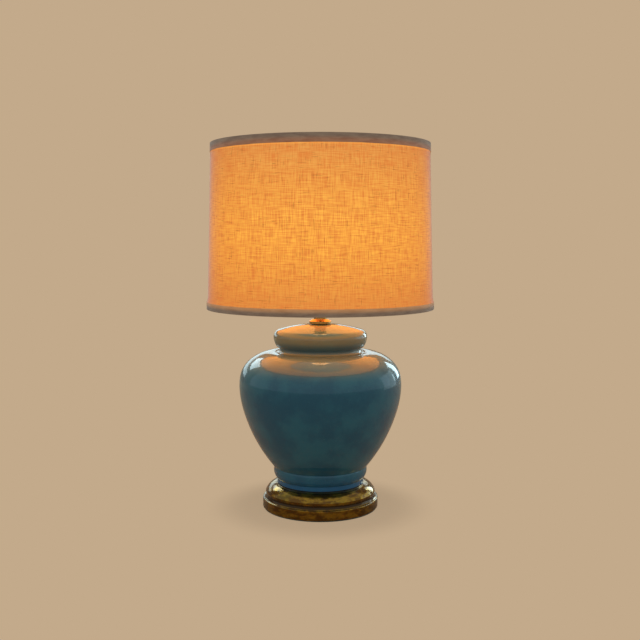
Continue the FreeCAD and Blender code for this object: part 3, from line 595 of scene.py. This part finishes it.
def rolled_thread(bm, crest, root, pitch, low, high):
    """A rolled thread between two heights: one wave of the profile, wound up a helix and cut off level."""
    turns = math.ceil((high - low) / pitch) + 2
    start = low - pitch
    wave = 8                    # edges in one wave
    chain = []
    for k in range(wave + 1):
        radius = (crest + root) / 2 + (crest - root) / 2 * math.cos(TURN * k / wave)
        chain.append(bm.verts.new((radius, 0, start + pitch * k / wave)))
    edges = [bm.edges.new(pair) for pair in zip(chain, chain[1:])]
    bmesh.ops.spin(bm, geom=chain + edges, cent=(0, 0, 0), axis=(0, 0, 1),
                   dvec=(0, 0, pitch / THREAD_STEPS), angle=TURN * turns, steps=THREAD_STEPS * turns,
                   use_merge=False)
    bmesh.ops.remove_doubles(bm, verts=bm.verts, dist=TOUCHING)
    for height, side in ((low, -1), (high, 1)):
        bmesh.ops.bisect_plane(bm, geom=bm.verts[:] + bm.edges[:] + bm.faces[:],
                               plane_co=(0, 0, height), plane_no=(0, 0, side), clear_outer=True)
    bmesh.ops.recalc_face_normals(bm, faces=bm.faces)


# ---------------------------------------------------------------- operators


class LAMP_OT_linen_cover(bpy.types.Operator):
    """Wrap the shade in linen, with the lapped seam at the back"""

    bl_idname = "lamp.linen_cover"
    bl_label = "Linen Cover"

    wall = 0.6 * MM
    lap = 9 * MM                # width of the seam's lap
    lap_rise = 0.35 * MM        # how far it stands off the linen
    lap_steps = 3

    def execute(self, context):
        shade = context.scene.lamp.shade
        low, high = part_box("shade_linen")
        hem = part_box("trim_bottom")[1].z
        wall_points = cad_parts["shade_linen"].data.vertices
        rows = sorted({round(v.co.z, 5) for v in wall_points if v.co.z > hem})
        outline = [(radius_at("shade_linen", height), height) for height in [low.z, hem] + rows]
        linen = slubbed_linen(shade)
        bm = bmesh.new()
        turn(bm, outline, HOOP_STEPS)
        thicken(bm, self.wall)
        lay_cloth(bm, outline[0][0])
        cover = finish_piece("linen_cover", bm, linen, "shade", "linen", "shade_linen")

        seam = [(radius + self.lap_rise, height) for radius, height in outline]
        angle = self.lap / outline[0][0]
        bm = bmesh.new()
        turn(bm, seam, self.lap_steps, angle, math.pi / 2 - angle / 2)
        thicken(bm, self.lap_rise)
        lay_cloth(bm, outline[0][0])
        finish_piece("linen_seam", bm, linen, "shade", "linen")
        return {"FINISHED"}


class LAMP_OT_rim_tapes(bpy.types.Operator):
    """Fold a woven tape over each rim of the shade"""

    bl_idname = "lamp.rim_tapes"
    bl_label = "Rim Tapes"

    wall = 0.7 * MM
    fold = 0.5 * MM             # radius of the folds at the rim
    sag = 0.25 * MM             # how far the cut edge wanders
    wander, fray = 60, 170      # swings of that edge: slow and quick ones, per metre
    inner_skin = 0.1 * MM       # depth within which points count as the tape's inside
    rim_zone = 1 * MM           # height within which points count as the upper rim

    def tape(self, node, name, side, glow, shade):
        """One tape: from its edge on the linen, over the rim, and a short way back inside."""
        low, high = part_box(node)
        rim, edge = (high.z, low.z) if side > 0 else (low.z, high.z)
        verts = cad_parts[node].data.vertices
        inner = min(v.co.xy.length for v in verts)
        turned_in = max(abs(rim - v.co.z) for v in verts if v.co.xy.length < inner + self.inner_skin)
        leg = radius_at(node, edge)
        outer = high.x
        if side > 0:
            outer = max(v.co.xy.length for v in verts if abs(v.co.z - rim) < self.rim_zone)
        outline = [(leg, edge), (outer, rim), (inner, rim), (inner, rim - side * turned_in)]
        bm = bmesh.new()
        turn(bm, outline, HOOP_STEPS)
        folds = [e for e in bm.edges if all(abs(v.co.z - rim) < TOUCHING for v in e.verts)
                 and abs(e.verts[0].co.xy.length - e.verts[1].co.xy.length) < TOUCHING]
        bmesh.ops.bevel(bm, geom=folds, offset=self.fold, segments=3, profile=0.5, affect="EDGES",
                        material=-1)
        for vert in bm.verts:
            if abs(vert.co.z - edge) < TOUCHING:
                wobble = noise.noise(vert.co * self.wander) + 0.5 * noise.noise(vert.co * self.fray)
                vert.co.z += side * self.sag * wobble
        thicken(bm, self.wall)
        lay_cloth(bm, outer, rim)
        finish_piece(name, bm, woven_tape(shade, glow), "shade", "trim_tape", node)

    def execute(self, context):
        shade = context.scene.lamp.shade
        self.tape("trim_top", "tape_top", 1, linear("#6C3A1C"), shade)
        self.tape("trim_bottom", "tape_bottom", -1, linear("#9C6A3A"), shade)
        return {"FINISHED"}


class LAMP_OT_shade_frame(bpy.types.Operator):
    """Light the styrene liner, and enamel the spider and the bottom ring"""

    bl_idname = "lamp.shade_frame"
    bl_label = "Shade Frame"

    def execute(self, context):
        dress(lit_styrene(context.scene.lamp.shade), "shade_liner")
        dress(moulded("White enamelled steel", linear("#D8D2C4"), linear("#B9AF9C"), 0.35, Coat_Weight=0.4),
              "shade_spider", "shade_bottom_ring")
        return {"FINISHED"}


class LAMP_OT_glazed_jar(bpy.types.Operator):
    """Glaze the jar and its lid"""

    bl_idname = "lamp.glazed_jar"
    bl_label = "Glazed Jar"

    def execute(self, context):
        dress(teal_glaze(context.scene.lamp.glaze), "jar", "lid")
        return {"FINISHED"}


class LAMP_OT_brass_work(bpy.types.Operator):
    """Age the spun base, and finish the turned neck and the finial"""

    bl_idname = "lamp.brass_work"
    bl_label = "Brass Work"

    def execute(self, context):
        metal = context.scene.lamp.metal
        dress(aged_brass(metal), "base_shell")
        neck = turned_metal("Lacquered turned brass", metal.neck, linear("#7A5426"), 0.22, Coat_Weight=0.3)
        dress(neck, "neck_seat", "check_ring", "spool_neck", "finial")
        return {"FINISHED"}


class LAMP_OT_harp(bpy.types.Operator):
    """Plate the harp, its saddle and its ferrules"""

    bl_idname = "lamp.harp"
    bl_label = "Harp"

    def execute(self, context):
        plated = turned_metal("Brass-plated steel", linear("#B08D52"), linear("#6E5127"), 0.28)
        dress(plated, "harp_saddle", "harp_wire", "harp_stud", "ferrule_left", "ferrule_right")
        return {"FINISHED"}


class LAMP_OT_socket(bpy.types.Operator):
    """Finish the socket and its switch, and roll the thread of its screw shell"""

    bl_idname = "lamp.socket"
    bl_label = "Socket and Switch"

    depth = 0.45 * MM           # of the thread

    def execute(self, context):
        gilt = turned_metal("Gilt socket brass", linear("#BF9A5B"), linear("#7F5D2C"), 0.3)
        dress(gilt, "socket_cap", "socket_shell", "centre_contact")
        dress(moulded("Vulcanised fibre", linear("#3A2A20"), linear("#57412F"), 0.8), "socket_liner")
        dress(moulded("Black phenolic", linear("#17130F"), linear("#2B241D"), 0.25, Coat_Weight=0.3),
              "socket_core", "switch_knob")
        low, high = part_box("screw_shell")
        bm = bmesh.new()
        rolled_thread(bm, high.x, high.x - self.depth, E26_PITCH, low.z, high.z)
        finish_piece("socket_thread", bm, gilt, "root", "socket_brass", "screw_shell")
        return {"FINISHED"}


class LAMP_OT_bulb(bpy.types.Operator):
    """Light the bulb, and roll the thread of its cap"""

    bl_idname = "lamp.bulb"
    bl_label = "Bulb"

    depth = 0.6 * MM            # of the thread
    shoulder = 2.5 * MM         # height of the plain cone under the thread

    def execute(self, context):
        dress(frosted_glass(), "bulb_glass")
        dress(clear_glass(), "bulb_stem")
        dress(hot_tungsten(), "bulb_filament")
        dress(moulded("Black vitrite", linear("#0E0D0C"), linear("#26231F"), 0.12, Coat_Weight=1.0),
              "bulb_insulator")
        cap = turned_metal("Aluminium bulb cap", linear("#B9BCC0"), linear("#8B8E92"), 0.3)
        dress(cap, "bulb_tip")
        low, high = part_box("bulb_screw_base")
        foot, last = low.z + self.shoulder, high.z - E26_PITCH / 2
        root = high.x - self.depth
        bm = bmesh.new()
        turn(bm, [(radius_at("bulb_screw_base", low.z), low.z), (root, foot), (root, last),
                  (high.x, high.z)], THREAD_STEPS)
        rolled_thread(bm, high.x, root, E26_PITCH, foot, last)
        finish_piece("bulb_thread", bm, cap, "bulb", "bulb_cap", "bulb_screw_base")
        return {"FINISHED"}


class LAMP_OT_base_fittings(bpy.types.Operator):
    """Finish the felt, the bushing, the pipe and its nut, and the gaskets"""

    bl_idname = "lamp.base_fittings"
    bl_label = "Base Fittings"

    def execute(self, context):
        dress(pressed_felt(), "felt_ring")
        dress(moulded("Brown nylon", linear("#2A1C12"), linear("#3B2A1D"), 0.45), "cord_bushing")
        dress(moulded("Black neoprene", linear("#121212"), linear("#242322"), 0.75), "foot_gasket",
              "crown_washer")
        dress(threaded_pipe(), "lamp_rod")
        dress(turned_metal("Zinc-plated steel", linear("#A3A6A8"), linear("#7C7A70"), 0.36),
              "rod_washer", "lock_washer", "rod_nut", "cap_set_screw", "terminal_screws", "switch_shaft")
        return {"FINISHED"}


class LAMP_OT_studio(bpy.types.Operator):
    """Set up the paper sweep, the windows, the room's light and the camera"""

    bl_idname = "lamp.studio"
    bl_label = "Studio"

    reach = 7.0             # the sweep's half width, and its length towards the camera
    wall_y = 3.2
    wall_height = 4.5
    bend = 1.2
    bend_steps = 24
    shadow_start = 0.13     # the lamp's shadow fades between these distances from its axis
    shadow_end = 0.22
    shadow_level = 0.7      # share of the paper's own colour that stays beside the base
    sensor = 36.0           # the camera's film width in millimetres
    window_distance = 2.4
    window_aim = 0.27       # the panes face the jar's shoulder
    # name, degrees round from the front, degrees up, width, height, share of the glow
    panes = (
        ("window_left_upper", -147, 26, 1.05, 0.72, 0.75),
        ("window_left_lower", -156, 6.5, 1.84, 0.44, 0.28),
        ("window_right_near", 145, 10, 0.50, 1.05, 1.0),
        ("window_right_far", 168, 10, 0.76, 0.36, 0.28),
        ("window_right_slit", 127, 5, 0.10, 0.50, 0.6),
        ("doorway_right", 114, 4, 1.5, 1.5, 0.16),
    )

    def sweep(self, colour):
        """Seamless paper: a floor that bends up into a wall."""
        bm = bmesh.new()
        chain = [bm.verts.new((-self.reach, y, z)) for y, z in
                 ((-self.reach, 0), (self.wall_y, 0), (self.wall_y, self.wall_height))]
        edges = [bm.edges.new(pair) for pair in zip(chain, chain[1:])]
        made = bmesh.ops.extrude_edge_only(bm, edges=edges)["geom"]
        moved = [v for v in made if isinstance(v, bmesh.types.BMVert)]
        bmesh.ops.translate(bm, verts=moved, vec=(2 * self.reach, 0, 0))
        corner = [e for e in bm.edges if all(v.co.y == self.wall_y and v.co.z == 0 for v in e.verts)]
        bmesh.ops.bevel(bm, geom=corner, offset=self.bend, segments=self.bend_steps, profile=0.5,
                        affect="EDGES", material=-1)
        mesh = bpy.data.meshes.new("paper_sweep")
        bm.to_mesh(mesh)
        bm.free()
        mesh.shade_smooth()
        mesh.materials.append(self.paper(colour))
        floor = bpy.data.objects.new("paper_sweep", mesh)
        bpy.context.scene.collection.objects.link(floor)

    def paper(self, colour):
        """Matt tan paper: even all over, with the lamp's soft shadow beside the base.

        To the camera, and through glass, it glows in its own colour.  Reflections show it as the room
        lights it, which keeps the jar's edges dark.
        """
        material, tree, shader, place = new_material(
            "Tan background paper", Roughness=0.95, Specular_IOR_Level=0.0, Base_Color=colour)
        own = add_node(tree, "ShaderNodeEmission", {"Color": colour})
        from_axis = add_node(tree, "ShaderNodeVectorMath", {0: place}, operation="LENGTH")
        far = add_node(tree, "ShaderNodeMapRange", {
            "Value": from_axis, "From Min": self.shadow_start, "From Max": self.shadow_end,
            "To Min": self.shadow_level}, interpolation_type="SMOOTHSTEP")
        path = tree.nodes.new("ShaderNodeLightPath")
        seen = 0.0
        for ray in ("Is Camera Ray", "Is Transmission Ray"):
            seen = add_node(tree, "ShaderNodeMath", {0: path.outputs[ray], 1: seen}, operation="MAXIMUM")
        share = add_node(tree, "ShaderNodeMath", {0: seen, 1: far}, operation="MULTIPLY")
        blend = add_node(tree, "ShaderNodeMixShader", {0: share, 1: shader.outputs["BSDF"], 2: own})
        tree.links.new(blend, tree.nodes["Material Output"].inputs["Surface"])
        return material

    def window(self, name, around, above, width, height, share, studio):
        """One pane of daylight, turned to the lamp."""
        swing = Matrix.Rotation(math.radians(around), 3, "Z")
        rise = Matrix.Rotation(math.radians(-above), 3, "X")
        aim = swing @ rise @ Vector((0, -self.window_distance, 0))
        light = bpy.data.lights.new(name, "AREA")
        light.shape = "RECTANGLE"
        light.size = width
        light.size_y = height
        light.energy = studio.window_glow * share * math.pi * width * height
        light.color = studio.daylight[:3]
        pane = bpy.data.objects.new(name, light)
        pane.location = aim + Vector((0, 0, self.window_aim))
        pane.rotation_euler = (-aim).to_track_quat("-Z", "Y").to_euler()
        pane.visible_camera = False
        bpy.context.scene.collection.objects.link(pane)

    def room(self, studio):
        """Even light all round, with the backdrop's colour where the camera looks past the paper."""
        world = bpy.data.worlds.new("room")
        world.use_nodes = True
        tree = world.node_tree
        air = tree.nodes["Background"]
        air.inputs["Color"].default_value = linear("#E8EEF4")
        air.inputs["Strength"].default_value = studio.room_level
        seen = add_node(tree, "ShaderNodeBackground", {"Color": studio.backdrop})
        camera_ray = add_node(tree, "ShaderNodeLightPath", {}, "Is Camera Ray")
        blend = add_node(tree, "ShaderNodeMixShader", {
            0: camera_ray, 1: air.outputs["Background"], 2: seen})
        tree.links.new(blend, tree.nodes["World Output"].inputs["Surface"])
        return world

    def execute(self, context):
        scene = context.scene
        studio = scene.lamp.studio
        self.sweep(studio.backdrop)
        for pane in self.panes:
            self.window(*pane, studio)
        scene.world = self.room(studio)

        camera = bpy.data.objects.new("camera", bpy.data.cameras.new("camera"))
        camera.data.lens = studio.lens
        camera.data.sensor_width = self.sensor
        camera.location = (studio.aside, -studio.distance, studio.eye_height)
        camera.rotation_euler = (math.pi / 2 - studio.pitch, 0, 0)
        scene.collection.objects.link(camera)
        scene.camera = camera
        scene.view_settings.view_transform = "Standard"
        return {"FINISHED"}


class LAMP_PT_sidebar(bpy.types.Panel):
    """The lamp's settings and its operators"""

    bl_idname = "LAMP_PT_sidebar"
    bl_label = "Ginger Jar Lamp"
    bl_space_type = "VIEW_3D"
    bl_region_type = "UI"
    bl_category = "Lamp"

    def draw(self, context):
        lamp = context.scene.lamp
        for title, group in (("Shade", lamp.shade), ("Glaze", lamp.glaze), ("Metal", lamp.metal),
                             ("Studio", lamp.studio)):
            box = self.layout.box()
            box.label(text=title)
            for name in group.bl_rna.properties.keys():
                if name not in ("rna_type", "name"):
                    box.prop(group, name)
        column = self.layout.column(align=True)
        for operator in OPERATORS:
            column.operator(operator.bl_idname)


SETTINGS = (StudioSettings, ShadeSettings, GlazeSettings, MetalSettings, LampSettings)
OPERATORS = (LAMP_OT_linen_cover, LAMP_OT_rim_tapes, LAMP_OT_shade_frame, LAMP_OT_glazed_jar,
             LAMP_OT_brass_work, LAMP_OT_harp, LAMP_OT_socket, LAMP_OT_bulb, LAMP_OT_base_fittings,
             LAMP_OT_studio)


def register():
    for made in SETTINGS + OPERATORS + (LAMP_PT_sidebar,):
        bpy.utils.register_class(made)
    bpy.types.Scene.lamp = PointerProperty(type=LampSettings)


def unregister():
    del bpy.types.Scene.lamp
    for made in reversed(SETTINGS + OPERATORS + (LAMP_PT_sidebar,)):
        bpy.utils.unregister_class(made)


def main():
    """Registers the add-on and makes every piece in order."""
    register()
    for operator in OPERATORS:
        group, name = operator.bl_idname.split(".")
        getattr(getattr(bpy.ops, group), name)()


if __name__ == "__main__":
    main()
